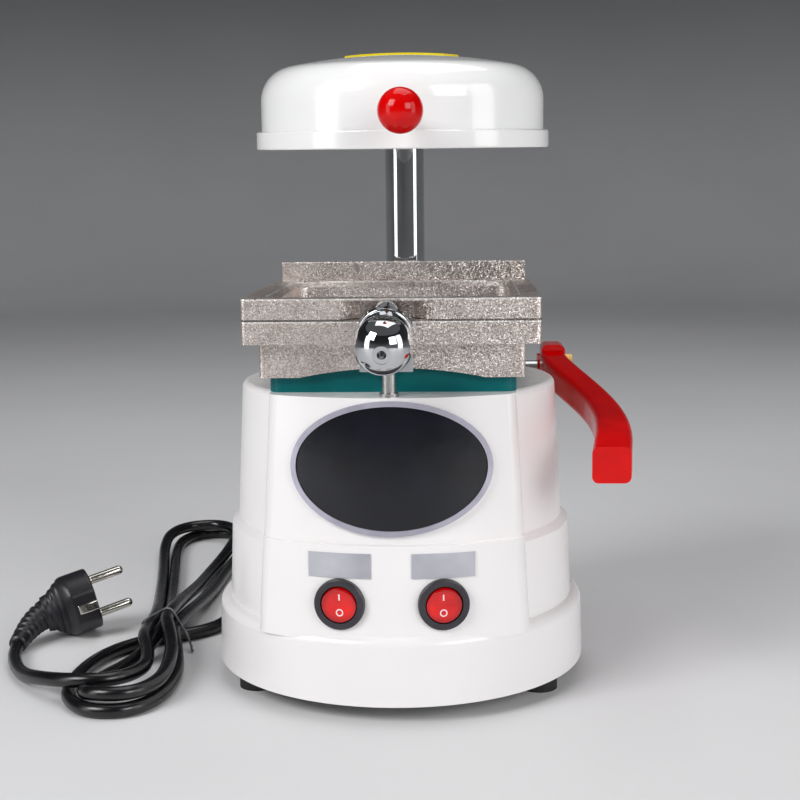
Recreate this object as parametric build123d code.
from build123d import *
import math
import os

# Dental vacuum former, in millimetres. +Z is up, +X is the lever's side, -Y is the front.
# Every piece is drawn about the axis of the round base; write_part() then moves it so
# that the origin is the middle of the machine's footprint, on the surface it stands on.

# ------------------------------------------------------------------ driving dimensions
ORIGIN_X = 9.9               # the middle of the footprint, seen from the base's axis
ORIGIN_Y = 5.0

RUN = 0.05                   # radial clearance of a shaft in its bore
GAP = 0.3                    # clearance between two pieces that pass each other
SCREW_R = 2.0                # shank of the machine screws
SCREW_HEAD_R = 3.5
SCREW_HEAD = 2.5

# base housing
FOOT_HEIGHT = 8.0
FOOT_R = 9.0
FOOT_CIRCLE = 77.0           # circle that the four feet stand on
FOOT_ANGLE = 30.0            # their angle from the X axis
HOUSING_WALL = 3.0
BASE_R = 89.8                # foot of the wide band
BAND_TOP_R = BASE_R - 0.8
BAND_TOP = 39.0
BAND_ROUND = 4.5
WAIST_R = BASE_R - 5.8       # foot of the wall on top of the band
STEP_R = WAIST_R - 1.5       # just under the step
STEP_Z = 75.0
STEP_RISE = 3.0
COLLAR_R = STEP_R - 3.3      # just over the step
TOP_R = COLLAR_R - 3.5
BODY_TOP = 144.0
TOP_ROUND = 3.0
BASE_PLATE = 3.0
VENT_R = 2.5
VENT_CIRCLE = 58.0
VENT_COUNT = 16

# bulged front panel of the housing
PANEL_CURVE = 115.0          # radius of its face, seen from above
PANEL_ROUND = 8.0            # its upright edges
PANEL_TOP_FRONT = TOP_R + 0.8  # how far it stands in front of the axis
PANEL_STEP_FRONT = PANEL_TOP_FRONT + 3.5
PANEL_LEDGE_FRONT = PANEL_STEP_FRONT + 4.0
PANEL_FOOT_FRONT = PANEL_LEDGE_FRONT + 2.0
PANEL_STEP_Z = 79.5
PANEL_TOP_HALF = 55.5
PANEL_FOOT_HALF = 61.5
PANEL_BACK = 35.0

# badge and labels
BADGE_Z = 113.0
BADGE_HALF_X = 45.15
BADGE_HALF_Z = 29.9
BADGE_RIM = 2.4
BADGE_RING_THICK = 1.6
BADGE_PLATE_THICK = 0.9
LABEL_X = 23.0
LABEL_Z = 70.6
LABEL_LENGTH = 28.0
LABEL_HEIGHT = 11.0
LABEL_THICK = 0.5

# round rocker switches
SWITCH_Z = 53.2
BEZEL_R = 11.5
BEZEL_SEAT = 0.8
BEZEL_PROUD = 1.9
BARREL_R = 9.9
BARREL_DEPTH = 16.0
ROCKER_BALL = 8.2
ROCKER_PIVOT = -0.5
ROCKER_REST_TILT = 8.0
ROCKER_PROUD = 3.4
ROCKER_VALLEY = 1.5
ROCKER_BACK = 5.0

# vacuum chamber
CHAMBER_ROUND = 6.0
CHAMBER_WALL = 3.0
CHAMBER_FLOOR = 4.0
CHAMBER_TOP = 171.7
CHAMBER_GASKET = 1.0
PERFORATED_PLATE = 2.5
PLATE_HOLE_R = 1.5
PLATE_HOLE_PITCH = 8.0
PLATE_HOLE_ROWS = 11
CHAMBER_SCREW_INSET = 7.0
CHAMBER_SCREW_END = 132.0

# vacuum motor
MOTOR_R = 40.0
MOTOR_BOTTOM = 14.0
MOTOR_TOP = 84.0
MOTOR_WALL = 1.5
MOTOR_CAP = 5.0
MOTOR_SHAFT_R = 4.0
ARMATURE_R = 24.0
ARMATURE_BOTTOM = 30.0
ARMATURE_TOP = 68.0
MOTOR_FLANGE_R = 46.0
FAN_COVER_R = 42.0
FAN_COVER_TOP = 108.0
IMPELLER_R = 36.0
IMPELLER_BOTTOM = 88.0
IMPELLER_TOP = 101.0
IMPELLER_BLADES = 9
DUCT_R = 22.0
DUCT_WALL = 5.0

# mains gland and terminal block
GLAND_ANGLE = 110.0
GLAND_Z = 22.0
GLAND_R = 7.0
GLAND_FLANGE_R = 9.5
GLAND_FLANGE = 3.0
GLAND_SEAT = BASE_R - 1.0
GLAND_NOSE_R = 5.5
GLAND_NOSE_END = GLAND_SEAT + 15.2
TERMINAL_Y = 57.0
TERMINAL_HALF = 16.0
TERMINAL_DEPTH = 7.0
TERMINAL_STEP = 9.0
TERMINAL_WALL = 3.0
TERMINAL_HEIGHT = 14.0
TERMINAL_PITCH = 10.0

# post, its bracket and the lever's bearing
POST_R = 10.5
POST_BOTTOM = 86.0
SPIGOT_R = 8.5
PAD_Y = TOP_R + 3.8          # flat pad on the back of the housing
POST_Y = PAD_Y + 13.5
PAD_HALF = 40.0
PAD_BOTTOM = 80.0
PAD_TOP = 141.0
BRACKET_BOTTOM = 84.0
BRACKET_TOP = 138.0
BRACKET_THICK = 8.5
BRACKET_HALF = 38.0
SOCKET_R = 17.0
BRACKET_SCREW_X = 30.0
BRACKET_SCREW_Z = (92.0, 117.0)
LEVER_Y = POST_Y + 15.0      # axis of the lever shaft, along X
LEVER_Z = 134.5
LEVER_SHAFT_R = 4.0
LEVER_SHAFT_START = 20.0
BEARING_R = 9.0
BEARING_INNER = 22.0
BEARING_OUTER = 40.0
BEARING_BUSH_R = 6.0

# lever arm, nut and crank
LEVER_ROOT_INNER = 74.7
LEVER_ROOT_OUTER = 87.8
LEVER_ROOT_TOP = 148.4
LEVER_ROOT_BOTTOM = 126.5
LEVER_ROOT_ROUND = 3.5
LEVER_BOSS_INNER = 72.7
LEVER_NECK_Y = LEVER_Y - 10.0
LEVER_ELBOW = (102.3, -12.0, 121.7)
LEVER_GRIP_END = (97.3, -70.0, 112.9)
LEVER_ARM_WIDTH = 14.5
LEVER_ARM_HEIGHT = 15.0
GRIP_WIDTH = 17.4
GRIP_HEIGHT = 16.4
LEVER_ROUND = 3.0
NUT_FLATS = 13.0
NUT_THICK = 4.5
CRANK_INNER = 50.0
CRANK_OUTER = 56.0
CRANK_LENGTH = 30.0
CRANK_REST_ANGLE = 47.5      # how far the crank hangs below level at rest
CRANK_HUB_R = 8.0
CRANK_PIN_R = 2.5
ROLLER_R = 4.0
ROLLER_PLAY = 1.3            # play of the roller in the yoke's slot, above and below

# carriage on the post
CARRIAGE_BOTTOM = 146.0
CARRIAGE_TOP = 172.0
CARRIAGE_R = 16.0
CARRIAGE_BUSH_R = 12.5
WEB_HALF = 25.0
WEB_BOTTOM = 160.0
WEB_TOP = 176.0
WEB_BACK = POST_Y - 13.0
CROSS_ARM_FRONT = POST_Y - 9.0
CROSS_ARM_BACK = POST_Y + 7.0
YOKE_INNER = 44.0
YOKE_THICK = 3.0
YOKE_FRONT = LEVER_Y - 40.0
YOKE_BACK = LEVER_Y - 10.0
YOKE_BOTTOM = 102.0
SLOT_FRONT = LEVER_Y - 35.3
SLOT_BACK = LEVER_Y - 15.0
FRAME_SCREW_X = 17.0

# sheet frame
FRAME_HALF = 66.5            # both plates, square
LOWER_BOTTOM = 166.6
LOWER_TOP = 177.2
UPPER_BOTTOM = 177.4
UPPER_TOP = 187.0
LOWER_OPENING = FRAME_HALF - 9.3
CHAMBER_HALF = LOWER_OPENING - 1.2
UPPER_OPENING = FRAME_HALF - 11.5
OPENING_ROUND = 7.0
OPENING_BEVEL = 3.0
FRAME_CORNER = 2.0
SKIRT_HALF = FRAME_HALF - 6.8
SKIRT_BOTTOM = 151.0
SKIRT_ARCH = 155.3
SKIRT_ARCH_HALF = SKIRT_HALF - 17.7
GASKET_OUTER = FRAME_HALF - 5.9
GASKET_THICK = 1.8
RIB_FRONT = FRAME_HALF - 4.5
RIB_HALF = FRAME_HALF - 2.5
RIB_TOP = 197.0
HINGE_Y = FRAME_HALF - 4.8
HINGE_Z = 182.2
HINGE_ROUND = 4.5
HINGE_PIN_R = 2.0
EAR_INNER = FRAME_HALF - 22.5
EAR_OUTER = EAR_INNER + 8.0
HINGE_PIN_REACH = 10.0       # how far each pin goes into the upper frame
RECESS_MOUTH = 20.5
RECESS_FLOOR = 12.0
RECESS_DEPTH = 8.0
RECESS_LIP = 1.2

# front clamp and guide rod
CLAMP_X = -1.7
BALL_Y = -FRAME_HALF - 27.5
BALL_Z = 169.2
BALL_R = 12.9
BALL_FLAT = 11.9
BALL_HOLE_R = 2.0
BALL_HOLE_RIM_R = 4.0
CLAMP_TILT = 14.0            # the clamp's axis, low at the front
COLLAR_START = 12.5
COLLAR_END = 17.3
COLLAR_R_CLAMP = 12.0
BOSS_R = 9.8
STUD_R = 4.0
STUD_START = 3.0
STUD_END = 33.5
BLOCK_HALF = 11.75
BLOCK_FRONT = -FRAME_HALF - 7.3
BLOCK_BOTTOM = 155.3
BLOCK_TOP = 179.5
ROD_X = -0.8
ROD_Y = -FRAME_HALF - 3.0
ROD_R = 3.2
ROD_BOTTOM = 88.0
ROD_BUSH_R = 4.4
ROD_BUSH_BOTTOM = 134.0
ROD_BUSH_TOP = 145.5

# heater head, drawn straight in front of the post
DOME_R = 66.9
DOME_LIP_R = DOME_R + 2.5
DOME_BOTTOM = 253.7
POST_SHOULDER = DOME_BOTTOM + 2.3
SPIGOT_TOP = POST_SHOULDER + 26.0
HUB_TOP = SPIGOT_TOP + 4.0
DOME_LIP_TOP = DOME_BOTTOM + 8.2
DOME_EDGE = DOME_BOTTOM + 35.3  # where the crown meets the wall, before the shoulder is rounded
DOME_TOP = DOME_EDGE + 8.0
DOME_SHOULDER = 16.0
DOME_WALL = 2.0
HEAD_SWING_REST = 2.0        # turned a little towards the lever
HEAD_DROOP = 1.8             # front edge low
HUB_R = 14.0
ARM_HALF = 9.0
ARM_BOTTOM = DOME_BOTTOM + 4.3
ARM_TOP = ARM_BOTTOM + 16.0
REFLECTOR_Z = DOME_BOTTOM + 19.8
REFLECTOR_THICK = 1.2
ELEMENT_INNER_R = 26.0
ELEMENT_OUTER_R = 46.0
ELEMENT_RINGS = (ELEMENT_INNER_R, ELEMENT_OUTER_R)
ELEMENT_TUBE = 3.5
ELEMENT_Z = REFLECTOR_Z - 5.5
SUPPORT_R = 4.5
SUPPORT_COUNT = 3
HEATER_SCREW_Z = (DOME_BOTTOM + 8.3, DOME_BOTTOM + 16.3)
CROWN_PLATE_X = 53.0
CROWN_PLATE_Y = 35.0
CROWN_PLATE_CORNER = 7.0
CROWN_PLATE_THICK = 0.8
HEATER_KNOB_R = 9.7
HEATER_KNOB_Y = -DOME_R - 21.2
HEATER_KNOB_Z = DOME_BOTTOM + 15.8
HEATER_STUD_R = 3.0

# mains cord: its points are set by hand, on the floor beside the machine
CORD_R = 3.4
CORD_FLOOR = 3.5
SUPPLY_ROUTE = [(-35.6, 97.7, 22.0), (-40.7, 111.8, 22.0), (-52.5, 124.0, 14.0), (-69.0, 122.0, 6.0),
                (-84.0, 109.0, 3.5), (-93.0, 88.0, 3.5), (-95.0, 66.0, 3.5), (-99.0, 46.0, 3.5),
                (-108.0, 32.5, 3.5), (-120.0, 27.5, 3.5)]
LEAD_ROUTE = [(-147.0, -48.5, 3.5), (-161.0, -47.5, 3.5), (-177.0, -40.0, 3.5), (-189.0, -26.0, 3.5),
              (-196.0, -9.0, 3.6), (-198.0, 7.0, 4.8)]
BUNDLE_WIDTH = 14.0
BUNDLE_HEIGHT = 10.5
LOWER_LOOP = [(-126, 24), (-118, 0), (-110, -38), (-118, -68), (-134, -80), (-147, -68), (-149, -45),
              (-141, -10), (-126, 24)]
UPPER_LOOP = [(-126, 24), (-121, 60), (-120, 130), (-123, 190), (-128, 228), (-137, 246), (-148, 250),
              (-155, 236), (-155, 205), (-149, 140), (-142, 90), (-136, 50), (-126, 24)]
TIE_Y = 19.0
TIE_WIDTH = 2.0
TIE_WALL = 0.6
PLUG_FACE = (-167.3, 42.0, 19.8)
PLUG_AXIS = (0.877, 0.415, 0.242)
PLUG_R = 16.5
PLUG_HEAD = 15.0
PLUG_NECK_R = 8.5
PLUG_BODY = 27.0
PLUG_PIN_R = 2.4
PLUG_PIN_LENGTH = 19.0
PLUG_PIN_HALF = 9.5
RELIEF_R = 4.7
RELIEF_ROUTE = [(-191.0, 30.8, 13.2), (-197.5, 24.5, 9.2), (-198.5, 15.5, 6.0), (-198.0, 7.0, 4.8)]


# ------------------------------------------------------------------ helpers
def write_part(name, shape):
    """Move a piece from the base's axis to the footprint's middle and write it."""
    solids = [Pos(-ORIGIN_X, -ORIGIN_Y, 0) * s for s in shape.solids()]
    whole = solids[0] if len(solids) == 1 else Compound(children=solids)
    export_step(whole, f"parts/{name}.step")


def block(x0, x1, y0, y1, z0, z1):
    """A block between two corners."""
    centre = Pos((x0 + x1) / 2, (y0 + y1) / 2, (z0 + z1) / 2)
    return centre * Box(x1 - x0, y1 - y0, z1 - z0)


def rod(start, direction, length, radius):
    """A round rod from a point, along a direction."""
    centred_foot = (Align.CENTER, Align.CENTER, Align.MIN)
    return Plane(origin=start, z_dir=direction) * Cylinder(radius, length, align=centred_foot)


def upright(x, y, z0, z1, radius):
    """An upright cylinder between two heights."""
    return rod((x, y, z0), (0, 0, 1), z1 - z0, radius)


def across(x0, x1, y, z, radius):
    """A cylinder along X between two x positions."""
    return rod((x0, y, z), (1, 0, 0), x1 - x0, radius)


def lengthwise(x, y0, y1, z, radius):
    """A cylinder along Y between two y positions."""
    return rod((x, y0, z), (0, 1, 0), y1 - y0, radius)


def square_prism(half, corner, z0, z1):
    """A square block with rounded upright corners."""
    return Pos(0, 0, z0) * extrude(RectangleRounded(2 * half, 2 * half, corner), z1 - z0)


def corner_of(sketch, x, y):
    """The corner of a flat sketch that lies nearest to a point."""
    return min(sketch.vertices(), key=lambda v: math.hypot(v.X - x, v.Y - y))


def turned(points, rounds=()):
    """Revolve an outline of (radius, height) points about Z; rounds lists (index, radius)."""
    outline = make_face(Polyline(*points, close=True))
    for index, radius in rounds:
        outline = fillet(corner_of(outline, *points[index]), radius)
    return revolve(Plane.XZ * outline, Axis.Z, 360)


def around(count, radius, first_angle=0.0):
    """Places evenly spaced on a circle about Z, as (x, y) pairs."""
    step = 2 * math.pi / count
    start = math.radians(first_angle)
    return [(radius * math.cos(start + i * step), radius * math.sin(start + i * step)) for i in range(count)]


def foot_places():
    """The four feet, mirrored about both axes."""
    x = FOOT_CIRCLE * math.cos(math.radians(FOOT_ANGLE))
    y = FOOT_CIRCLE * math.sin(math.radians(FOOT_ANGLE))
    return [(sx * x, sy * y) for sx in (-1, 1) for sy in (-1, 1)]


def cord_tube(route, radius):
    """A round tube along straight runs joined by the largest arcs that they leave room for."""
    corners = [Vector(*p) for p in route]
    radii = []
    for before, here, after in zip(corners, corners[1:], corners[2:]):
        half_turn = math.radians((here - before).get_angle(after - here)) / 2
        shorter = min((here - before).length, (after - here).length)
        radii.append(0.45 * shorter / math.tan(half_turn))
    path = FilletPolyline(*route, radius=radii)
    tube = sweep((path ^ 0) * Circle(radius), path=path)
    expected = math.pi * radius ** 2 * path.length
    print("tube length", round(path.length, 1), "radii", [round(r, 1) for r in radii],
          "volume share", round(tube.volume / expected, 4))
    return tube


# ------------------------------------------------------------------ housing
def housing_round(inset, floor):
    """The round body, smaller by inset all over; its foot is at the height floor."""
    band_top = BAND_TOP - inset
    points = [(0, floor), (BASE_R - inset, floor), (BAND_TOP_R - inset, band_top),
              (WAIST_R - inset, band_top), (STEP_R - inset, STEP_Z - inset),
              (COLLAR_R - inset, STEP_Z + STEP_RISE - inset), (TOP_R - inset, BODY_TOP - inset),
              (0, BODY_TOP - inset)]
    rounds = [(6, TOP_ROUND)] if inset else [(2, BAND_ROUND), (6, TOP_ROUND)]
    return turned(points, rounds)


def panel_half(z):
    """Half the panel's width at a height."""
    share = (z - BAND_TOP) / (BODY_TOP - BAND_TOP)
    return PANEL_FOOT_HALF + share * (PANEL_TOP_HALF - PANEL_FOOT_HALF)


def panel_section(z, front, grow):
    """The panel seen from above at one height, its face moved out by grow."""
    half = panel_half(z)
    curve = PANEL_CURVE + grow
    middle = -front - grow
    edge = middle + curve - math.sqrt(curve ** 2 - half ** 2)
    outline = make_face([
        Line((half, edge), (half, -PANEL_BACK)),
        Line((half, -PANEL_BACK), (-half, -PANEL_BACK)),
        Line((-half, -PANEL_BACK), (-half, edge)),
        ThreePointArc((-half, edge), (0, middle), (half, edge)),
    ])
    outline = fillet([corner_of(outline, half, edge), corner_of(outline, -half, edge)], PANEL_ROUND)
    return Pos(0, 0, z) * outline


def panel(z0, front0, z1, front1, grow=0.0):
    """A stretch of the front panel between two heights."""
    return loft([panel_section(z0, front0, grow), panel_section(z1, front1, grow)], ruled=True)


def upper_panel(grow=0.0, top=BODY_TOP):
    return panel(PANEL_STEP_Z, PANEL_STEP_FRONT, top, PANEL_TOP_FRONT, grow)


def lower_panel(grow=0.0, top=PANEL_STEP_Z):
    return panel(BAND_TOP - HOUSING_WALL, PANEL_FOOT_FRONT, top, PANEL_LEDGE_FRONT, grow)


def panel_hollow():
    """The room behind the front panel."""
    narrow = Pos(0, 0, 0) * block(-PANEL_TOP_HALF + HOUSING_WALL, PANEL_TOP_HALF - HOUSING_WALL,
                                  -PANEL_FOOT_FRONT, 0, BAND_TOP, BODY_TOP - HOUSING_WALL)
    upper = upper_panel(-HOUSING_WALL, BODY_TOP - HOUSING_WALL)
    lower = lower_panel(-HOUSING_WALL, PANEL_STEP_Z - HOUSING_WALL)
    return (upper + lower) & narrow


def switch_plane(side):
    """The switch's own plane on the panel's face: Z points out of the panel."""
    x = side * LABEL_X
    share = (SWITCH_Z - BAND_TOP) / (PANEL_STEP_Z - BAND_TOP)
    front = PANEL_FOOT_FRONT + share * (PANEL_LEDGE_FRONT - PANEL_FOOT_FRONT)
    y = -front + PANEL_CURVE - math.sqrt(PANEL_CURVE ** 2 - x ** 2)
    slant = math.asin(x / PANEL_CURVE)
    return Plane(origin=(x, y, SWITCH_Z), x_dir=(math.cos(slant), math.sin(slant), 0),
                 z_dir=(math.sin(slant), -math.cos(slant), 0))


def local_rod(plane, z0, z1, radius):
    """A cylinder about a plane's own normal, between two local heights."""
    return rod(plane.from_local_coords((0, 0, z0)), plane.z_dir, z1 - z0, radius)


def gland_direction():
    angle = math.radians(GLAND_ANGLE)
    return (math.cos(angle), math.sin(angle), 0)


def gland_rod(r0, r1, radius):
    """A cylinder along the gland's axis, between two distances from the base's axis."""
    dx, dy, _ = gland_direction()
    return rod((r0 * dx, r0 * dy, GLAND_Z), (dx, dy, 0), r1 - r0, radius)


def rear_pad():
    """The hollow flat pad that the post bracket is bolted to."""
    outer = block(-PAD_HALF, PAD_HALF, TOP_R / 2, PAD_Y, PAD_BOTTOM, PAD_TOP)
    inner = block(-PAD_HALF + HOUSING_WALL, PAD_HALF - HOUSING_WALL, 0, PAD_Y - HOUSING_WALL,
                  PAD_BOTTOM + HOUSING_WALL, PAD_TOP - HOUSING_WALL)
    return outer, inner


def make_housing():
    pad_outer, pad_inner = rear_pad()
    body = housing_round(0, FOOT_HEIGHT) + upper_panel() + lower_panel() + pad_outer
    body -= housing_round(HOUSING_WALL, FOOT_HEIGHT - HOUSING_WALL)
    body -= panel_hollow()
    body -= pad_inner
    plate_top = FOOT_HEIGHT + BASE_PLATE
    for x, y in foot_places():
        column = upright(x, y, plate_top, BAND_TOP + 3 * HOUSING_WALL, 2.5 * SCREW_R)
        body += column & housing_round(HOUSING_WALL / 2, plate_top)
        body -= upright(x, y, plate_top, plate_top + 5 * SCREW_R, SCREW_R + RUN)
    body -= upright(0, 0, CHAMBER_SCREW_END, BODY_TOP, DUCT_R + GAP)
    body -= upright(ROD_X, ROD_Y, ROD_BUSH_BOTTOM, BODY_TOP, ROD_BUSH_R + RUN)
    for x, y in chamber_screw_places():
        body -= upright(x, y, CHAMBER_SCREW_END, BODY_TOP, SCREW_R + RUN)
    for x, z in bracket_screw_places():
        body -= lengthwise(x, PAD_Y - 2 * HOUSING_WALL, PAD_Y, z, SCREW_R + RUN)
    for side in (-1, 1):
        plane = switch_plane(side)
        body -= local_rod(plane, -BARREL_DEPTH, 0, BARREL_R + RUN)
        body -= local_rod(plane, -BEZEL_SEAT, BEZEL_PROUD, BEZEL_R + RUN)
    body -= gland_rod(BASE_R - 4 * HOUSING_WALL, BASE_R + HOUSING_WALL, GLAND_R + RUN)
    body -= gland_rod(GLAND_SEAT, BASE_R + HOUSING_WALL, GLAND_FLANGE_R + RUN)
    return body


def make_base_plate():
    plate = upright(0, 0, FOOT_HEIGHT, FOOT_HEIGHT + BASE_PLATE, BASE_R - HOUSING_WALL - GAP)
    for x, y in foot_places():
        plate -= upright(x, y, FOOT_HEIGHT, FOOT_HEIGHT + BASE_PLATE, SCREW_R + RUN)
    for x, y in around(VENT_COUNT, VENT_CIRCLE, 360 / VENT_COUNT / 2):
        plate -= upright(x, y, FOOT_HEIGHT, FOOT_HEIGHT + BASE_PLATE, VENT_R)
    return plate


def make_feet():
    feet = []
    for x, y in foot_places():
        foot = upright(x, y, 0, FOOT_HEIGHT, FOOT_R)
        foot -= upright(x, y, 0, FOOT_HEIGHT / 2, SCREW_HEAD_R + GAP)
        foot -= upright(x, y, 0, FOOT_HEIGHT, SCREW_R + RUN)
        feet.append(foot)
    return Compound(children=feet)


def make_base_screws():
    screws = []
    for x, y in foot_places():
        head = upright(x, y, FOOT_HEIGHT / 2 - SCREW_HEAD, FOOT_HEIGHT / 2, SCREW_HEAD_R)
        screws.append(head + upright(x, y, FOOT_HEIGHT / 2, FOOT_HEIGHT + BASE_PLATE + 4 * SCREW_R, SCREW_R))
    return Compound(children=screws)


# ------------------------------------------------------------------ badge, labels, switches
def ellipse_prism(half_x, half_z):
    """An elliptical prism that reaches through the front panel."""
    face = Plane(origin=(0, 0, BADGE_Z), x_dir=(1, 0, 0), z_dir=(0, -1, 0)) * Ellipse(half_x, half_z)
    return extrude(face, PANEL_FOOT_FRONT)


def make_badge_ring():
    skin = upper_panel(BADGE_RING_THICK) - upper_panel()
    ring = ellipse_prism(BADGE_HALF_X, BADGE_HALF_Z)
    ring -= ellipse_prism(BADGE_HALF_X - BADGE_RIM, BADGE_HALF_Z - BADGE_RIM)
    return skin & ring


def make_badge_plate():
    skin = upper_panel(BADGE_PLATE_THICK) - upper_panel()
    return skin & ellipse_prism(BADGE_HALF_X - BADGE_RIM - RUN, BADGE_HALF_Z - BADGE_RIM - RUN)


def make_label(side):
    skin = lower_panel(LABEL_THICK) - lower_panel()
    x = side * LABEL_X
    window = block(x - LABEL_LENGTH / 2, x + LABEL_LENGTH / 2, -PANEL_FOOT_FRONT - PANEL_ROUND,
                   -PANEL_BACK - PANEL_ROUND, LABEL_Z - LABEL_HEIGHT / 2, LABEL_Z + LABEL_HEIGHT / 2)
    return skin & window


def make_switch_body(side):
    plane = switch_plane(side)
    bezel = local_rod(plane, -BEZEL_SEAT, BEZEL_PROUD, BEZEL_R)
    bezel = fillet(bezel.edges().filter_by(GeomType.CIRCLE).group_by(Axis.Y)[0], BEZEL_SEAT)
    body = bezel + local_rod(plane, -BARREL_DEPTH, -BEZEL_SEAT, BARREL_R)
    opening_depth = ROCKER_BACK + ROCKER_REST_TILT / 2
    return body - local_rod(plane, -opening_depth, BEZEL_PROUD, ROCKER_BALL + GAP)


def make_rocker(side):
    """A ball-sided rocker with a shallow V across its face, tilted to its off side."""
    rocker = Pos(0, 0, ROCKER_PIVOT) * Sphere(ROCKER_BALL)
    rocker &= block(-BEZEL_R, BEZEL_R, -BEZEL_R, BEZEL_R, -ROCKER_BACK, ROCKER_PROUD)
    valley = Polyline((-BEZEL_R, ROCKER_PROUD + 1), (-BEZEL_R, ROCKER_PROUD), (0, ROCKER_VALLEY),
                      (BEZEL_R, ROCKER_PROUD), (BEZEL_R, ROCKER_PROUD + 1), close=True)
    rocker -= extrude(Plane.YZ * make_face(valley), BEZEL_R, both=True)
    rocker = Pos(0, 0, ROCKER_PIVOT) * Rot(ROCKER_REST_TILT, 0, 0) * Pos(0, 0, -ROCKER_PIVOT) * rocker
    return switch_plane(side) * rocker


# ------------------------------------------------------------------ chamber and motor
def chamber_screw_places():
    inset = CHAMBER_HALF - CHAMBER_SCREW_INSET
    return [(sx * inset, sy * inset) for sx in (-1, 1) for sy in (-1, 1)]


def make_chamber():
    inside = CHAMBER_HALF - CHAMBER_WALL
    box = square_prism(CHAMBER_HALF, CHAMBER_ROUND, BODY_TOP, CHAMBER_TOP)
    box -= square_prism(inside, CHAMBER_ROUND - CHAMBER_WALL, BODY_TOP + CHAMBER_FLOOR, CHAMBER_TOP)
    for x, y in chamber_screw_places():
        box += upright(x, y, BODY_TOP, CHAMBER_TOP, CHAMBER_SCREW_INSET - CHAMBER_WALL + 1)
    for x, y in chamber_screw_places():
        box -= upright(x, y, BODY_TOP, CHAMBER_TOP, SCREW_R + RUN)
    return box - upright(0, 0, BODY_TOP, BODY_TOP + CHAMBER_FLOOR, DUCT_R - DUCT_WALL)


def make_chamber_gasket():
    top = CHAMBER_TOP + CHAMBER_GASKET
    ring = square_prism(CHAMBER_HALF, CHAMBER_ROUND, CHAMBER_TOP, top)
    ring -= square_prism(CHAMBER_HALF - CHAMBER_SCREW_INSET - 2 * SCREW_R, CHAMBER_ROUND, CHAMBER_TOP, top)
    for x, y in chamber_screw_places():
        ring -= upright(x, y, CHAMBER_TOP, top, SCREW_R + RUN)
    return ring


def plate_bottom():
    return CHAMBER_TOP + CHAMBER_GASKET


def plate_top():
    return plate_bottom() + PERFORATED_PLATE


def make_perforated_plate():
    plate = square_prism(CHAMBER_HALF, CHAMBER_ROUND, plate_bottom(), plate_top())
    holes = GridLocations(PLATE_HOLE_PITCH, PLATE_HOLE_PITCH, PLATE_HOLE_ROWS, PLATE_HOLE_ROWS)
    grid = extrude(Sketch() + [place * Circle(PLATE_HOLE_R) for place in holes], PERFORATED_PLATE)
    plate -= Pos(0, 0, plate_bottom()) * grid
    for x, y in chamber_screw_places():
        plate -= upright(x, y, plate_bottom(), plate_top(), SCREW_R + RUN)
        plate -= upright(x, y, plate_top() - PERFORATED_PLATE / 2, plate_top(), SCREW_HEAD_R + RUN)
    return plate


def make_chamber_screws():
    screws = []
    head_foot = plate_top() - PERFORATED_PLATE / 2
    for x, y in chamber_screw_places():
        head = upright(x, y, head_foot, plate_top(), SCREW_HEAD_R)
        screws.append(head + upright(x, y, CHAMBER_SCREW_END, head_foot, SCREW_R))
    return Compound(children=screws)


def make_motor_can():
    """The motor's can on its flange, hollow, with a bearing bore through both caps."""
    can = upright(0, 0, MOTOR_BOTTOM, MOTOR_TOP, MOTOR_R)
    can += upright(0, 0, FOOT_HEIGHT + BASE_PLATE, MOTOR_BOTTOM, MOTOR_FLANGE_R)
    can -= upright(0, 0, MOTOR_BOTTOM + MOTOR_CAP, MOTOR_TOP - MOTOR_CAP, MOTOR_R - MOTOR_WALL)
    return can - upright(0, 0, MOTOR_BOTTOM + MOTOR_CAP / 2, MOTOR_TOP, MOTOR_SHAFT_R + RUN)


def make_motor_shaft():
    shaft = upright(0, 0, MOTOR_BOTTOM + MOTOR_CAP / 2 + GAP, IMPELLER_TOP + GAP, MOTOR_SHAFT_R)
    return shaft + upright(0, 0, ARMATURE_BOTTOM, ARMATURE_TOP, ARMATURE_R)


def make_impeller():
    disc = 2 * MOTOR_WALL
    wheel = upright(0, 0, IMPELLER_BOTTOM, IMPELLER_BOTTOM + disc, IMPELLER_R)
    wheel += upright(0, 0, IMPELLER_BOTTOM, IMPELLER_TOP, 2 * MOTOR_SHAFT_R)
    blade = block(2 * MOTOR_SHAFT_R - 1, IMPELLER_R - 1, -MOTOR_WALL / 2, MOTOR_WALL / 2,
                  IMPELLER_BOTTOM, IMPELLER_TOP)
    for i in range(IMPELLER_BLADES):
        wheel += Rot(0, 0, i * 360 / IMPELLER_BLADES) * blade
    return wheel - upright(0, 0, IMPELLER_BOTTOM, IMPELLER_TOP, MOTOR_SHAFT_R + RUN)


def make_fan_cover():
    cover = upright(0, 0, MOTOR_TOP, FAN_COVER_TOP, FAN_COVER_R)
    cover -= upright(0, 0, MOTOR_TOP, FAN_COVER_TOP - 2 * MOTOR_WALL, FAN_COVER_R - 2 * MOTOR_WALL)
    return cover - upright(0, 0, MOTOR_TOP, FAN_COVER_TOP, DUCT_R - DUCT_WALL)


def make_duct_seal():
    tube = upright(0, 0, FAN_COVER_TOP, BODY_TOP, DUCT_R)
    return tube - upright(0, 0, FAN_COVER_TOP, BODY_TOP, DUCT_R - DUCT_WALL)


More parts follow.
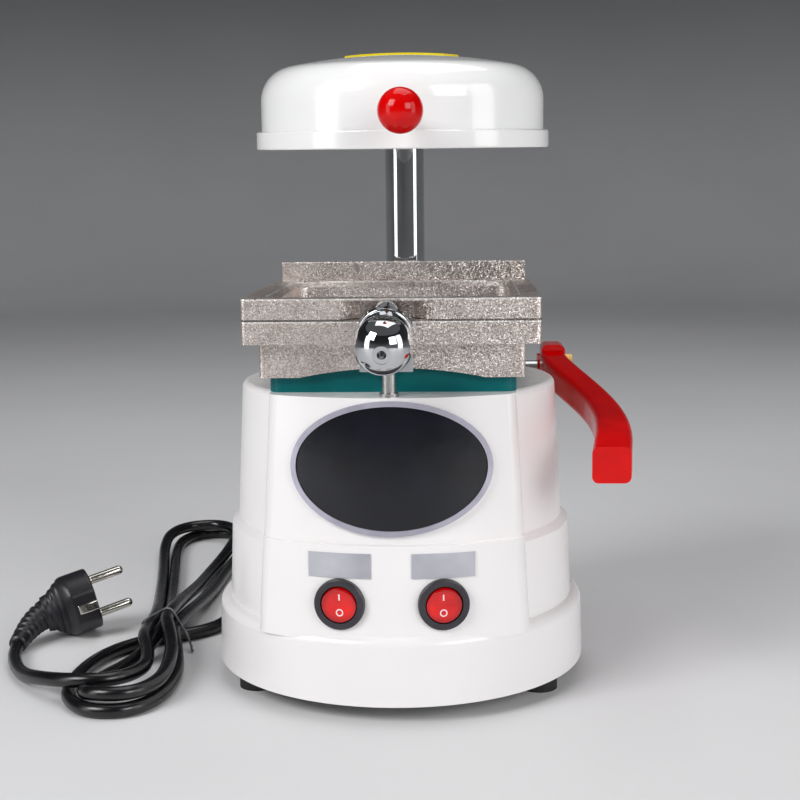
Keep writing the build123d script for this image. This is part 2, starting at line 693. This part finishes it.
def make_terminal_block():
    floor = FOOT_HEIGHT + BASE_PLATE
    step, top = floor + TERMINAL_STEP, floor + TERMINAL_HEIGHT
    body = block(-TERMINAL_HALF, TERMINAL_HALF, TERMINAL_Y - TERMINAL_DEPTH, TERMINAL_Y + TERMINAL_DEPTH,
                 floor, step)
    body += block(-TERMINAL_HALF, TERMINAL_HALF, TERMINAL_Y - TERMINAL_WALL, TERMINAL_Y + TERMINAL_WALL,
                  floor, top)
    for side in (-1, 0, 1):
        body -= upright(side * TERMINAL_PITCH, TERMINAL_Y, step, top, 2 * RUN + SCREW_R)
    return body


def make_cord_gland():
    body = gland_rod(GLAND_SEAT - 3 * HOUSING_WALL, GLAND_SEAT, GLAND_R)
    body += gland_rod(GLAND_SEAT, GLAND_SEAT + GLAND_FLANGE, GLAND_FLANGE_R)
    return body + gland_rod(GLAND_SEAT + GLAND_FLANGE, GLAND_NOSE_END, GLAND_NOSE_R)


# ------------------------------------------------------------------ post, bracket, lever
def bracket_screw_places():
    return [(sx * BRACKET_SCREW_X, z) for sx in (-1, 1) for z in BRACKET_SCREW_Z]


def make_post_bracket():
    back = PAD_Y + BRACKET_THICK
    body = block(-BRACKET_HALF, BEARING_OUTER, PAD_Y, back, BRACKET_BOTTOM, BRACKET_TOP)
    body += upright(0, POST_Y, BRACKET_BOTTOM, BRACKET_TOP, SOCKET_R) & block(
        -SOCKET_R, SOCKET_R, PAD_Y, POST_Y + SOCKET_R, BRACKET_BOTTOM, BRACKET_TOP)
    body += block(BEARING_INNER, BEARING_OUTER, PAD_Y, LEVER_Y, LEVER_Z - BEARING_R, LEVER_Z + BEARING_R)
    body += across(BEARING_INNER, BEARING_OUTER, LEVER_Y, LEVER_Z, BEARING_R)
    body -= across(BEARING_INNER, BEARING_OUTER, LEVER_Y, LEVER_Z, BEARING_BUSH_R + RUN)
    body -= upright(0, POST_Y, POST_BOTTOM, BRACKET_TOP, POST_R + RUN)
    for x, z in bracket_screw_places():
        body -= lengthwise(x, PAD_Y, back, z, SCREW_R + RUN)
    return body


def make_bracket_screws():
    back = PAD_Y + BRACKET_THICK
    screws = []
    for x, z in bracket_screw_places():
        head = lengthwise(x, back, back + SCREW_HEAD, z, SCREW_HEAD_R)
        screws.append(head + lengthwise(x, PAD_Y - 2 * HOUSING_WALL, back, z, SCREW_R))
    return Compound(children=screws)


def make_post():
    return upright(0, POST_Y, POST_BOTTOM, POST_SHOULDER, POST_R) + upright(
        0, POST_Y, POST_SHOULDER, SPIGOT_TOP, SPIGOT_R)


def make_shaft_bush():
    bush = across(BEARING_INNER, BEARING_OUTER, LEVER_Y, LEVER_Z, BEARING_BUSH_R)
    return bush - across(BEARING_INNER, BEARING_OUTER, LEVER_Y, LEVER_Z, LEVER_SHAFT_R + RUN)


def make_lever_shaft():
    end = LEVER_ROOT_OUTER + NUT_THICK + GAP
    return across(LEVER_SHAFT_START, end, LEVER_Y, LEVER_Z, LEVER_SHAFT_R)


def lever_section(x, y, z, width, height):
    """One upright section of the lever arm, as a rounded rectangle that faces along Y."""
    plane = Plane(origin=(x, y, z), x_dir=(1, 0, 0), z_dir=(0, -1, 0))
    return plane * RectangleRounded(width, height, LEVER_ROUND)


def make_lever_arm():
    root_x = (LEVER_ROOT_INNER + LEVER_ROOT_OUTER) / 2
    root_width = LEVER_ROOT_OUTER - LEVER_ROOT_INNER
    root_depth = LEVER_Y - LEVER_NECK_Y
    root = block(LEVER_ROOT_INNER, LEVER_ROOT_OUTER, LEVER_Y - root_depth, LEVER_Y + root_depth - 1,
                 LEVER_ROOT_BOTTOM, LEVER_ROOT_TOP)
    root = fillet(root.edges().filter_by(Axis.Y), LEVER_ROOT_ROUND)
    root += across(LEVER_BOSS_INNER, LEVER_ROOT_INNER, LEVER_Y, LEVER_Z, 2 * LEVER_SHAFT_R)
    ex, ey, ez = LEVER_ELBOW
    gx, gy, gz = LEVER_GRIP_END
    neck_z = LEVER_ROOT_TOP - LEVER_ARM_HEIGHT / 2 - LEVER_ROUND
    share = 0.5
    mid = (root_x + share * (ex - root_x), LEVER_NECK_Y + share * (ey - LEVER_NECK_Y),
           neck_z + share * (ez - neck_z))
    bend = 15.0
    sections = [
        lever_section(root_x, LEVER_Y - 2, neck_z, root_width, LEVER_ARM_HEIGHT),
        lever_section(*mid, LEVER_ARM_WIDTH, LEVER_ARM_HEIGHT),
        lever_section(ex - 2.0, ey + bend, ez + 1.8, LEVER_ARM_WIDTH, LEVER_ARM_HEIGHT),
        lever_section(ex - 0.6, ey - bend, ez - 2.2, (LEVER_ARM_WIDTH + GRIP_WIDTH) / 2, LEVER_ARM_HEIGHT),
        lever_section(gx, gy, gz, GRIP_WIDTH, GRIP_HEIGHT),
    ]
    arm = loft(sections)
    return root + arm - across(LEVER_BOSS_INNER, LEVER_ROOT_OUTER, LEVER_Y, LEVER_Z, LEVER_SHAFT_R + RUN)


def make_lever_nut():
    hexagon = RegularPolygon(NUT_FLATS / 2, 6, major_radius=False)
    plane = Plane(origin=(LEVER_ROOT_OUTER, LEVER_Y, LEVER_Z), x_dir=(0, 0, 1), z_dir=(1, 0, 0))
    nut = extrude(plane * hexagon, NUT_THICK)
    return nut - across(LEVER_ROOT_OUTER, LEVER_ROOT_OUTER + NUT_THICK, LEVER_Y, LEVER_Z, LEVER_SHAFT_R + RUN)


def crank_pin():
    """Where the crank's pin is at rest, as (y, z)."""
    angle = math.radians(CRANK_REST_ANGLE)
    return LEVER_Y - CRANK_LENGTH * math.cos(angle), LEVER_Z - CRANK_LENGTH * math.sin(angle)


def make_crank():
    y, z = crank_pin()
    middle_y, middle_z = (LEVER_Y + y) / 2, (LEVER_Z + z) / 2
    bar = Plane(origin=(CRANK_INNER, middle_y, middle_z), x_dir=(0, y - LEVER_Y, z - LEVER_Z),
                z_dir=(1, 0, 0)) * SlotCenterToCenter(CRANK_LENGTH, 2 * CRANK_HUB_R - 4)
    crank = extrude(bar, CRANK_OUTER - CRANK_INNER)
    crank += across(CRANK_INNER, CRANK_OUTER, LEVER_Y, LEVER_Z, CRANK_HUB_R)
    crank += across(YOKE_INNER - 1, CRANK_INNER, y, z, CRANK_PIN_R)
    return crank - across(CRANK_INNER, CRANK_OUTER, LEVER_Y, LEVER_Z, LEVER_SHAFT_R + RUN)


def make_crank_roller():
    y, z = crank_pin()
    ring = across(YOKE_INNER - 1, CRANK_INNER - GAP, y, z, ROLLER_R)
    return ring - across(YOKE_INNER - 1, CRANK_INNER - GAP, y, z, CRANK_PIN_R + RUN)


# ------------------------------------------------------------------ carriage
def make_carriage():
    body = upright(0, POST_Y, CARRIAGE_BOTTOM, CARRIAGE_TOP, CARRIAGE_R)
    body += block(-WEB_HALF, WEB_HALF, FRAME_HALF, WEB_BACK, WEB_BOTTOM, WEB_TOP)
    body += block(0, YOKE_INNER, CROSS_ARM_FRONT, CROSS_ARM_BACK, WEB_BOTTOM, CARRIAGE_TOP)
    body -= upright(0, POST_Y, CARRIAGE_BOTTOM, WEB_TOP, CARRIAGE_BUSH_R + RUN)
    for x, z in frame_screw_places():
        body -= lengthwise(x, FRAME_HALF, WEB_BACK, z, SCREW_R + RUN)
    for y, z in yoke_screw_places():
        body -= across(YOKE_INNER - 4 * SCREW_R, YOKE_INNER, y, z, SCREW_R + RUN)
    return body


def make_carriage_bush():
    bush = upright(0, POST_Y, CARRIAGE_BOTTOM, CARRIAGE_TOP, CARRIAGE_BUSH_R)
    return bush - upright(0, POST_Y, CARRIAGE_BOTTOM, CARRIAGE_TOP, POST_R + RUN)


def frame_screw_places():
    return [(side * FRAME_SCREW_X, (LOWER_BOTTOM + LOWER_TOP) / 2) for side in (-1, 1)]


def yoke_screw_places():
    z = (WEB_BOTTOM + CARRIAGE_TOP) / 2
    return [(CROSS_ARM_FRONT + 2 * SCREW_R, z), (YOKE_BACK - 2 * SCREW_R, z)]


def make_yoke_plate():
    _, pin_z = crank_pin()
    slot_half = ROLLER_R + ROLLER_PLAY
    outer = YOKE_INNER + YOKE_THICK
    plate = block(YOKE_INNER, outer, YOKE_FRONT, YOKE_BACK, YOKE_BOTTOM, CARRIAGE_TOP)
    plate -= block(YOKE_INNER, outer, SLOT_FRONT, SLOT_BACK, pin_z - slot_half, pin_z + slot_half)
    for y, z in yoke_screw_places():
        plate -= across(YOKE_INNER, outer, y, z, SCREW_R + RUN)
    return plate


def make_frame_screws():
    """Screws that hold the lower frame and the yoke plate to the carriage."""
    screws = []
    yoke_outer = YOKE_INNER + YOKE_THICK
    for x, z in frame_screw_places():
        head = lengthwise(x, WEB_BACK, WEB_BACK + SCREW_HEAD, z, SCREW_HEAD_R)
        screws.append(head + lengthwise(x, LOWER_OPENING + SCREW_HEAD, WEB_BACK, z, SCREW_R))
    for y, z in yoke_screw_places():
        head = across(yoke_outer, yoke_outer + SCREW_HEAD - RUN, y, z, SCREW_HEAD_R)
        screws.append(head + across(YOKE_INNER - 3 * SCREW_R, yoke_outer, y, z, SCREW_R))
    return Compound(children=screws)


# ------------------------------------------------------------------ sheet frame
def clamp_point(s):
    """A point on the clamp's tilted axis, s behind the ball's centre."""
    tilt = math.radians(CLAMP_TILT)
    return (CLAMP_X, BALL_Y + s * math.cos(tilt), BALL_Z + s * math.sin(tilt))


def clamp_rod(s0, s1, radius):
    tilt = math.radians(CLAMP_TILT)
    return rod(clamp_point(s0), (0, math.cos(tilt), math.sin(tilt)), s1 - s0, radius)


def skirt_arch():
    """The flat arch cut from the skirt's lower edge, from front to back."""
    arch = make_face([
        Line((-SKIRT_ARCH_HALF, SKIRT_BOTTOM), (SKIRT_ARCH_HALF, SKIRT_BOTTOM)),
        ThreePointArc((SKIRT_ARCH_HALF, SKIRT_BOTTOM), (0, SKIRT_ARCH), (-SKIRT_ARCH_HALF, SKIRT_BOTTOM)),
    ])
    return extrude(Plane.XZ * arch, SKIRT_HALF, both=True)


def make_lower_frame():
    body = square_prism(FRAME_HALF, FRAME_CORNER, LOWER_BOTTOM, LOWER_TOP)
    body += square_prism(SKIRT_HALF, FRAME_CORNER, SKIRT_BOTTOM, LOWER_BOTTOM)
    body -= square_prism(LOWER_OPENING, OPENING_ROUND, SKIRT_BOTTOM, LOWER_TOP)
    body -= square_prism(GASKET_OUTER, OPENING_ROUND, LOWER_TOP - GASKET_THICK, LOWER_TOP)
    body -= skirt_arch()
    for side in (-1, 1):
        x0, x1 = sorted((side * EAR_INNER, side * EAR_OUTER))
        ear = across(x0, x1, HINGE_Y, HINGE_Z, HINGE_ROUND)
        ear += block(x0, x1, GASKET_OUTER + GAP, FRAME_HALF - GAP, LOWER_TOP, HINGE_Z)
        body += ear - across(x0, x1, HINGE_Y, HINGE_Z, HINGE_PIN_R)
    body -= clamp_rod(0, STUD_END + 2 * GAP, STUD_R + 2 * GAP)
    for x, z in frame_screw_places():
        body -= lengthwise(x, LOWER_OPENING + SCREW_HEAD, FRAME_HALF, z, SCREW_R + RUN)
    return body


def make_sheet_gasket():
    foot = LOWER_TOP - GASKET_THICK
    ring = square_prism(GASKET_OUTER - RUN, OPENING_ROUND, foot, LOWER_TOP)
    return ring - square_prism(LOWER_OPENING, OPENING_ROUND, foot, LOWER_TOP)


def upper_recess():
    """The bevelled notch in the front edge, open to the front and below."""
    front, floor = -FRAME_HALF, -FRAME_HALF + RECESS_DEPTH
    outline = make_face(Polyline((-RECESS_MOUTH, front), (RECESS_MOUTH, front), (RECESS_FLOOR, floor),
                                 (-RECESS_FLOOR, floor), close=True))
    return Pos(CLAMP_X, 0, UPPER_BOTTOM) * extrude(outline, UPPER_TOP - RECESS_LIP - UPPER_BOTTOM)


def make_upper_frame():
    """The upper plate: its rear lower edge is rounded about the hinge so that it can turn."""
    hinge_back = HINGE_Z - UPPER_BOTTOM
    body = square_prism(FRAME_HALF, FRAME_CORNER, UPPER_BOTTOM, UPPER_TOP)
    opening = square_prism(UPPER_OPENING, OPENING_ROUND, UPPER_BOTTOM, UPPER_TOP)
    body -= opening
    rim = body.edges().filter_by(lambda e: abs(e.center().Z - UPPER_TOP) < GAP and
                                 max(abs(e.center().X), abs(e.center().Y)) < UPPER_OPENING + GAP)
    body = chamfer(rim, OPENING_BEVEL)
    body += block(-RIB_HALF, RIB_HALF, RIB_FRONT, FRAME_HALF, UPPER_TOP, RIB_TOP)
    rear_corner = block(-FRAME_HALF, FRAME_HALF, HINGE_Y, FRAME_HALF + GAP, UPPER_BOTTOM, HINGE_Z)
    body -= rear_corner - across(-FRAME_HALF, FRAME_HALF, HINGE_Y, HINGE_Z, hinge_back)
    for side in (-1, 1):
        x0, x1 = sorted((side * (EAR_INNER - GAP), side * (EAR_OUTER + GAP)))
        body -= block(x0, x1, HINGE_Y - HINGE_ROUND - 2 * GAP, FRAME_HALF, UPPER_BOTTOM,
                      HINGE_Z + HINGE_ROUND + GAP)
        pin0, pin1 = sorted((side * (EAR_INNER - HINGE_PIN_REACH), side * (EAR_OUTER + HINGE_PIN_REACH)))
        body -= across(pin0, pin1, HINGE_Y, HINGE_Z, HINGE_PIN_R + RUN)
    return body - upper_recess()


def make_hinge_pins():
    pins = []
    for side in (-1, 1):
        reach = HINGE_PIN_REACH - GAP
        pin0, pin1 = sorted((side * (EAR_INNER - reach), side * (EAR_OUTER + reach)))
        pins.append(across(pin0, pin1, HINGE_Y, HINGE_Z, HINGE_PIN_R))
    return Compound(children=pins)


# ------------------------------------------------------------------ front clamp
def make_guide_block():
    """Square block on the lower frame's front, with a round boss about the clamp's axis."""
    x0, x1 = CLAMP_X - BLOCK_HALF, CLAMP_X + BLOCK_HALF
    front_of_frame = -FRAME_HALF
    clear_of_upper = front_of_frame - 2 * GAP
    body = block(x0, x1, BLOCK_FRONT, front_of_frame, BLOCK_BOTTOM, LOWER_TOP)
    body += block(x0, x1, BLOCK_FRONT, clear_of_upper, LOWER_TOP, BLOCK_TOP)
    body = chamfer(body.edges().filter_by(Axis.Z).sort_by(Axis.Y)[:2], 1.0)
    body += block(x0, x1, front_of_frame, -SKIRT_HALF, BLOCK_BOTTOM, LOWER_BOTTOM)
    boss = clamp_rod(COLLAR_END + GAP, STUD_END, BOSS_R)
    body += boss & block(x0, x1, BALL_Y, clear_of_upper, BLOCK_BOTTOM, RIB_TOP)
    body -= upright(ROD_X, ROD_Y, BLOCK_BOTTOM, BLOCK_BOTTOM + 2 * ROD_R, ROD_R)
    return body - clamp_rod(0, STUD_END + STUD_R, STUD_R + RUN)


def make_guide_rod():
    return upright(ROD_X, ROD_Y, ROD_BOTTOM, BLOCK_BOTTOM + 2 * ROD_R, ROD_R)


def make_guide_bush():
    bush = upright(ROD_X, ROD_Y, ROD_BUSH_BOTTOM, ROD_BUSH_TOP, ROD_BUSH_R)
    return bush - upright(ROD_X, ROD_Y, ROD_BUSH_BOTTOM, ROD_BUSH_TOP, ROD_R + RUN)


def make_clamp_stud():
    shaft = clamp_rod(STUD_START, STUD_END - STUD_R, STUD_R)
    return shaft + Pos(*clamp_point(STUD_END - STUD_R)) * Sphere(STUD_R)


def make_clamp_collar():
    disc = clamp_rod(COLLAR_START, COLLAR_END, COLLAR_R_CLAMP)
    rims = disc.edges().filter_by(GeomType.CIRCLE)
    return fillet(rims, 1.0) - clamp_rod(COLLAR_START, COLLAR_END, STUD_R + RUN)


def make_ball_knob():
    ball = Pos(*clamp_point(0)) * Sphere(BALL_R)
    ball -= clamp_rod(STUD_START, BALL_R + 1, STUD_R + RUN)
    ball -= clamp_rod(-BALL_R - 1, -BALL_R + 0.9, BALL_HOLE_RIM_R)
    return ball - clamp_rod(-BALL_R, -BALL_R + 8, BALL_HOLE_R)


# ------------------------------------------------------------------ heater head
def swung(shape):
    """Swing a piece of the head to its rest angle about the post."""
    return Pos(0, POST_Y, 0) * Rot(0, 0, HEAD_SWING_REST) * Pos(0, -POST_Y, 0) * shape


def drooped(shape):
    """Tip a piece of the dome so that its front edge is low, then swing it to rest."""
    height = (DOME_BOTTOM + DOME_LIP_TOP) / 2
    tipped = Pos(0, 0, height) * Rot(HEAD_DROOP, 0, 0) * Pos(0, 0, -height) * shape
    return swung(tipped)


def dome_solid(grow):
    """The dome as a full solid, its wall and crown moved out by grow."""
    sag = DOME_TOP - DOME_EDGE
    crown = (DOME_R ** 2 + sag ** 2) / (2 * sag)      # the crown's own radius
    crown_z = DOME_TOP - crown
    round_x = DOME_R - DOME_SHOULDER                  # centre of the shoulder's arc
    round_z = crown_z + math.sqrt((crown - DOME_SHOULDER) ** 2 - round_x ** 2)
    slope = math.atan2(round_x, round_z - crown_z)    # of the crown, where the shoulder starts
    radius, top = DOME_R + grow, DOME_TOP + grow
    meet = ((crown + grow) * math.sin(slope), crown_z + (crown + grow) * math.cos(slope))
    middle = (math.pi / 2 + slope) / 2
    shoulder = DOME_SHOULDER + grow
    on_shoulder = (round_x + shoulder * math.sin(middle), round_z + shoulder * math.cos(middle))
    handle = (meet[0] - (top - meet[1]) / math.tan(slope), top)
    outline = make_face([
        Line((0, DOME_BOTTOM), (radius, DOME_BOTTOM)),
        Line((radius, DOME_BOTTOM), (radius, round_z)),
        ThreePointArc((radius, round_z), on_shoulder, meet),
        Bezier(meet, handle, (0, top)),
        Line((0, top), (0, DOME_BOTTOM)),
    ])
    return revolve(Plane.XZ * outline, Axis.Z, 360)


def make_dome():
    lip = upright(0, 0, DOME_BOTTOM, DOME_LIP_TOP, DOME_LIP_R)
    lip = fillet(lip.edges().filter_by(GeomType.CIRCLE), 0.8)
    dome = dome_solid(0) + lip - dome_solid(-DOME_WALL)
    dome -= upright(0, 0, DOME_BOTTOM - 1, DOME_LIP_TOP, DOME_R - DOME_WALL)
    dome -= lengthwise(0, -DOME_LIP_R, 0, HEATER_KNOB_Z, HEATER_STUD_R)
    for z in HEATER_SCREW_Z:
        dome -= lengthwise(0, 0, DOME_LIP_R, z, SCREW_R + RUN)
    return drooped(dome)


def make_crown_plate():
    half_x, half_y, cut = CROWN_PLATE_X / 2, CROWN_PLATE_Y / 2, CROWN_PLATE_CORNER
    outline = chamfer(Rectangle(CROWN_PLATE_X, CROWN_PLATE_Y).vertices(), cut)
    prism = Pos(0, 0, DOME_EDGE) * extrude(outline, DOME_SHOULDER)
    return drooped((prism & dome_solid(CROWN_PLATE_THICK)) - dome_solid(0))


def make_reflector():
    return drooped(upright(0, 0, REFLECTOR_Z, REFLECTOR_Z + REFLECTOR_THICK, DOME_R - DOME_WALL - GAP))


def ring_tube(radius, tube):
    return Pos(0, 0, ELEMENT_Z) * Torus(radius, tube)


def make_element():
    """Two heating rings joined by a bridge."""
    inner, outer = ELEMENT_RINGS
    bridge = Rot(0, 0, -10) * lengthwise(0, inner, outer, ELEMENT_Z, ELEMENT_TUBE - 1)
    return drooped(ring_tube(inner, ELEMENT_TUBE) + ring_tube(outer, ELEMENT_TUBE) + bridge)


def make_element_supports():
    supports = []
    for radius in ELEMENT_RINGS:
        for x, y in around(SUPPORT_COUNT, radius, -90):
            pillar = upright(x, y, ELEMENT_Z - 1, REFLECTOR_Z, SUPPORT_R)
            supports.append(drooped(pillar - ring_tube(radius, ELEMENT_TUBE + RUN)))
    return Compound(children=supports)


def make_hub():
    body = upright(0, POST_Y, POST_SHOULDER + GAP, HUB_TOP, HUB_R)
    body += block(-ARM_HALF, ARM_HALF, DOME_R - ARM_HALF, POST_Y - SPIGOT_R, ARM_BOTTOM, ARM_TOP)
    body -= upright(0, POST_Y, POST_SHOULDER, SPIGOT_TOP + GAP, SPIGOT_R + RUN)
    lip = upright(0, 0, DOME_BOTTOM, DOME_LIP_TOP, DOME_LIP_R)
    hub = swung(body) - drooped(dome_solid(0) + lip)
    for z in HEATER_SCREW_Z:
        hub -= drooped(lengthwise(0, 0, POST_Y - HUB_R, z, SCREW_R + RUN))
    return hub


def make_heater_screws():
    inside = DOME_R - DOME_WALL - GAP
    screws = []
    for z in HEATER_SCREW_Z:
        head = lengthwise(0, inside - SCREW_HEAD, inside, z, SCREW_HEAD_R)
        screws.append(drooped(head + lengthwise(0, inside, POST_Y - HUB_R - 1, z, SCREW_R)))
    return Compound(children=screws)


def make_heater_knob():
    knob = Pos(0, HEATER_KNOB_Y, HEATER_KNOB_Z) * Sphere(HEATER_KNOB_R)
    end = HEATER_KNOB_Y + HEATER_KNOB_R
    return drooped(knob - lengthwise(0, HEATER_KNOB_Y, end, HEATER_KNOB_Z, HEATER_STUD_R))


def make_knob_stud():
    return drooped(lengthwise(0, HEATER_KNOB_Y, -DOME_R + DOME_WALL, HEATER_KNOB_Z, HEATER_STUD_R))


# ------------------------------------------------------------------ cord and plug
def thick_line(points, width):
    """A flat band of one width along a line of points, with round ends."""
    band = Sketch()
    for (x0, y0), (x1, y1) in zip(points, points[1:]):
        length = math.hypot(x1 - x0, y1 - y0)
        place = Pos((x0 + x1) / 2, (y0 + y1) / 2) * Rot(0, 0, math.degrees(math.atan2(y1 - y0, x1 - x0)))
        band += place * SlotCenterToCenter(length, width)
    return band


def make_hank():
    return extrude(thick_line(LOWER_LOOP, BUNDLE_WIDTH) + thick_line(UPPER_LOOP, BUNDLE_WIDTH), BUNDLE_HEIGHT)


def make_cord_tie():
    middle = LOWER_LOOP[0][0]
    half = BUNDLE_WIDTH / 2 + 3
    outer = block(middle - half, middle + half, TIE_Y, TIE_Y + TIE_WIDTH, 0, BUNDLE_HEIGHT + TIE_WALL)
    inner = block(middle - half + TIE_WALL, middle + half - TIE_WALL, TIE_Y, TIE_Y + TIE_WIDTH,
                  TIE_WALL, BUNDLE_HEIGHT)
    return outer - inner


def plug_plane():
    """The plug's own plane: Z along the pins, X level, Y up."""
    axis = Vector(*PLUG_AXIS).normalized()
    level = Vector(-axis.Y, axis.X, 0).normalized()
    return Plane(origin=PLUG_FACE, x_dir=level, z_dir=axis)


def make_plug_body():
    """A round head that tapers to the cord's side."""
    points = [(0, -PLUG_BODY), (PLUG_NECK_R, -PLUG_BODY), (PLUG_R, -PLUG_HEAD), (PLUG_R, 0), (0, 0)]
    return plug_plane() * turned(points, [(1, 2.0), (2, 4.0), (3, 1.0)])


def make_plug_pins():
    plane = plug_plane()
    pins = []
    for side in (-1, 1):
        foot = plane.from_local_coords((0, side * PLUG_PIN_HALF, 0))
        pins.append(rod(foot, plane.z_dir, PLUG_PIN_LENGTH, PLUG_PIN_R))
    return Compound(children=pins)


# ------------------------------------------------------------------ write every piece
def main():
    os.makedirs("parts", exist_ok=True)
    write_part("housing", make_housing())
    write_part("base_plate", make_base_plate())
    write_part("rubber_feet", make_feet())
    write_part("housing_screws", Compound(children=[make_base_screws(), make_bracket_screws()]))
    write_part("badge_ring", make_badge_ring())
    write_part("badge_plate", make_badge_plate())
    write_part("label_plates", Compound(children=[make_label(-1), make_label(1)]))
    for name, side in (("vacuum", -1), ("heat", 1)):
        write_part(f"{name}_switch_body", make_switch_body(side))
        write_part(f"{name}_rocker", make_rocker(side))
    write_part("vacuum_chamber", make_chamber())
    write_part("chamber_gasket", make_chamber_gasket())
    write_part("perforated_plate", make_perforated_plate())
    write_part("chamber_screws", make_chamber_screws())
    write_part("motor_can", make_motor_can())
    write_part("motor_shaft", make_motor_shaft())
    write_part("impeller", make_impeller())
    write_part("fan_cover", make_fan_cover())
    write_part("duct_seal", make_duct_seal())
    write_part("terminal_block", make_terminal_block())
    write_part("cord_gland", make_cord_gland())
    write_part("post_bracket", make_post_bracket())
    write_part("post", make_post())
    write_part("shaft_bush", make_shaft_bush())
    write_part("lever_shaft", make_lever_shaft())
    write_part("lever_arm", make_lever_arm())
    write_part("lever_nut", make_lever_nut())
    write_part("crank_arm", make_crank())
    write_part("crank_roller", make_crank_roller())
    write_part("carriage", make_carriage())
    write_part("carriage_bush", make_carriage_bush())
    write_part("yoke_plate", make_yoke_plate())
    write_part("frame_screws", make_frame_screws())
    write_part("lower_frame", make_lower_frame())
    write_part("sheet_gasket", make_sheet_gasket())
    write_part("upper_frame", make_upper_frame())
    write_part("hinge_pins", make_hinge_pins())
    write_part("guide_block", make_guide_block())
    write_part("guide_rod", make_guide_rod())
    write_part("guide_bush", make_guide_bush())
    write_part("clamp_stud", make_clamp_stud())
    write_part("clamp_collar", make_clamp_collar())
    write_part("ball_knob", make_ball_knob())
    write_part("heater_dome", make_dome())
    write_part("crown_plate", make_crown_plate())
    write_part("reflector", make_reflector())
    write_part("heating_element", make_element())
    write_part("element_supports", make_element_supports())
    write_part("heater_hub", make_hub())
    write_part("heater_screws", make_heater_screws())
    write_part("heater_knob", make_heater_knob())
    write_part("heater_knob_stud", make_knob_stud())
    write_part("supply_cord", cord_tube(SUPPLY_ROUTE, CORD_R))
    write_part("plug_lead", cord_tube(LEAD_ROUTE, CORD_R))
    write_part("cord_hank", make_hank())
    write_part("cord_tie", make_cord_tie())
    write_part("plug_body", make_plug_body())
    write_part("plug_pins", make_plug_pins())
    write_part("plug_strain_relief", cord_tube(RELIEF_ROUTE, RELIEF_R))


main()
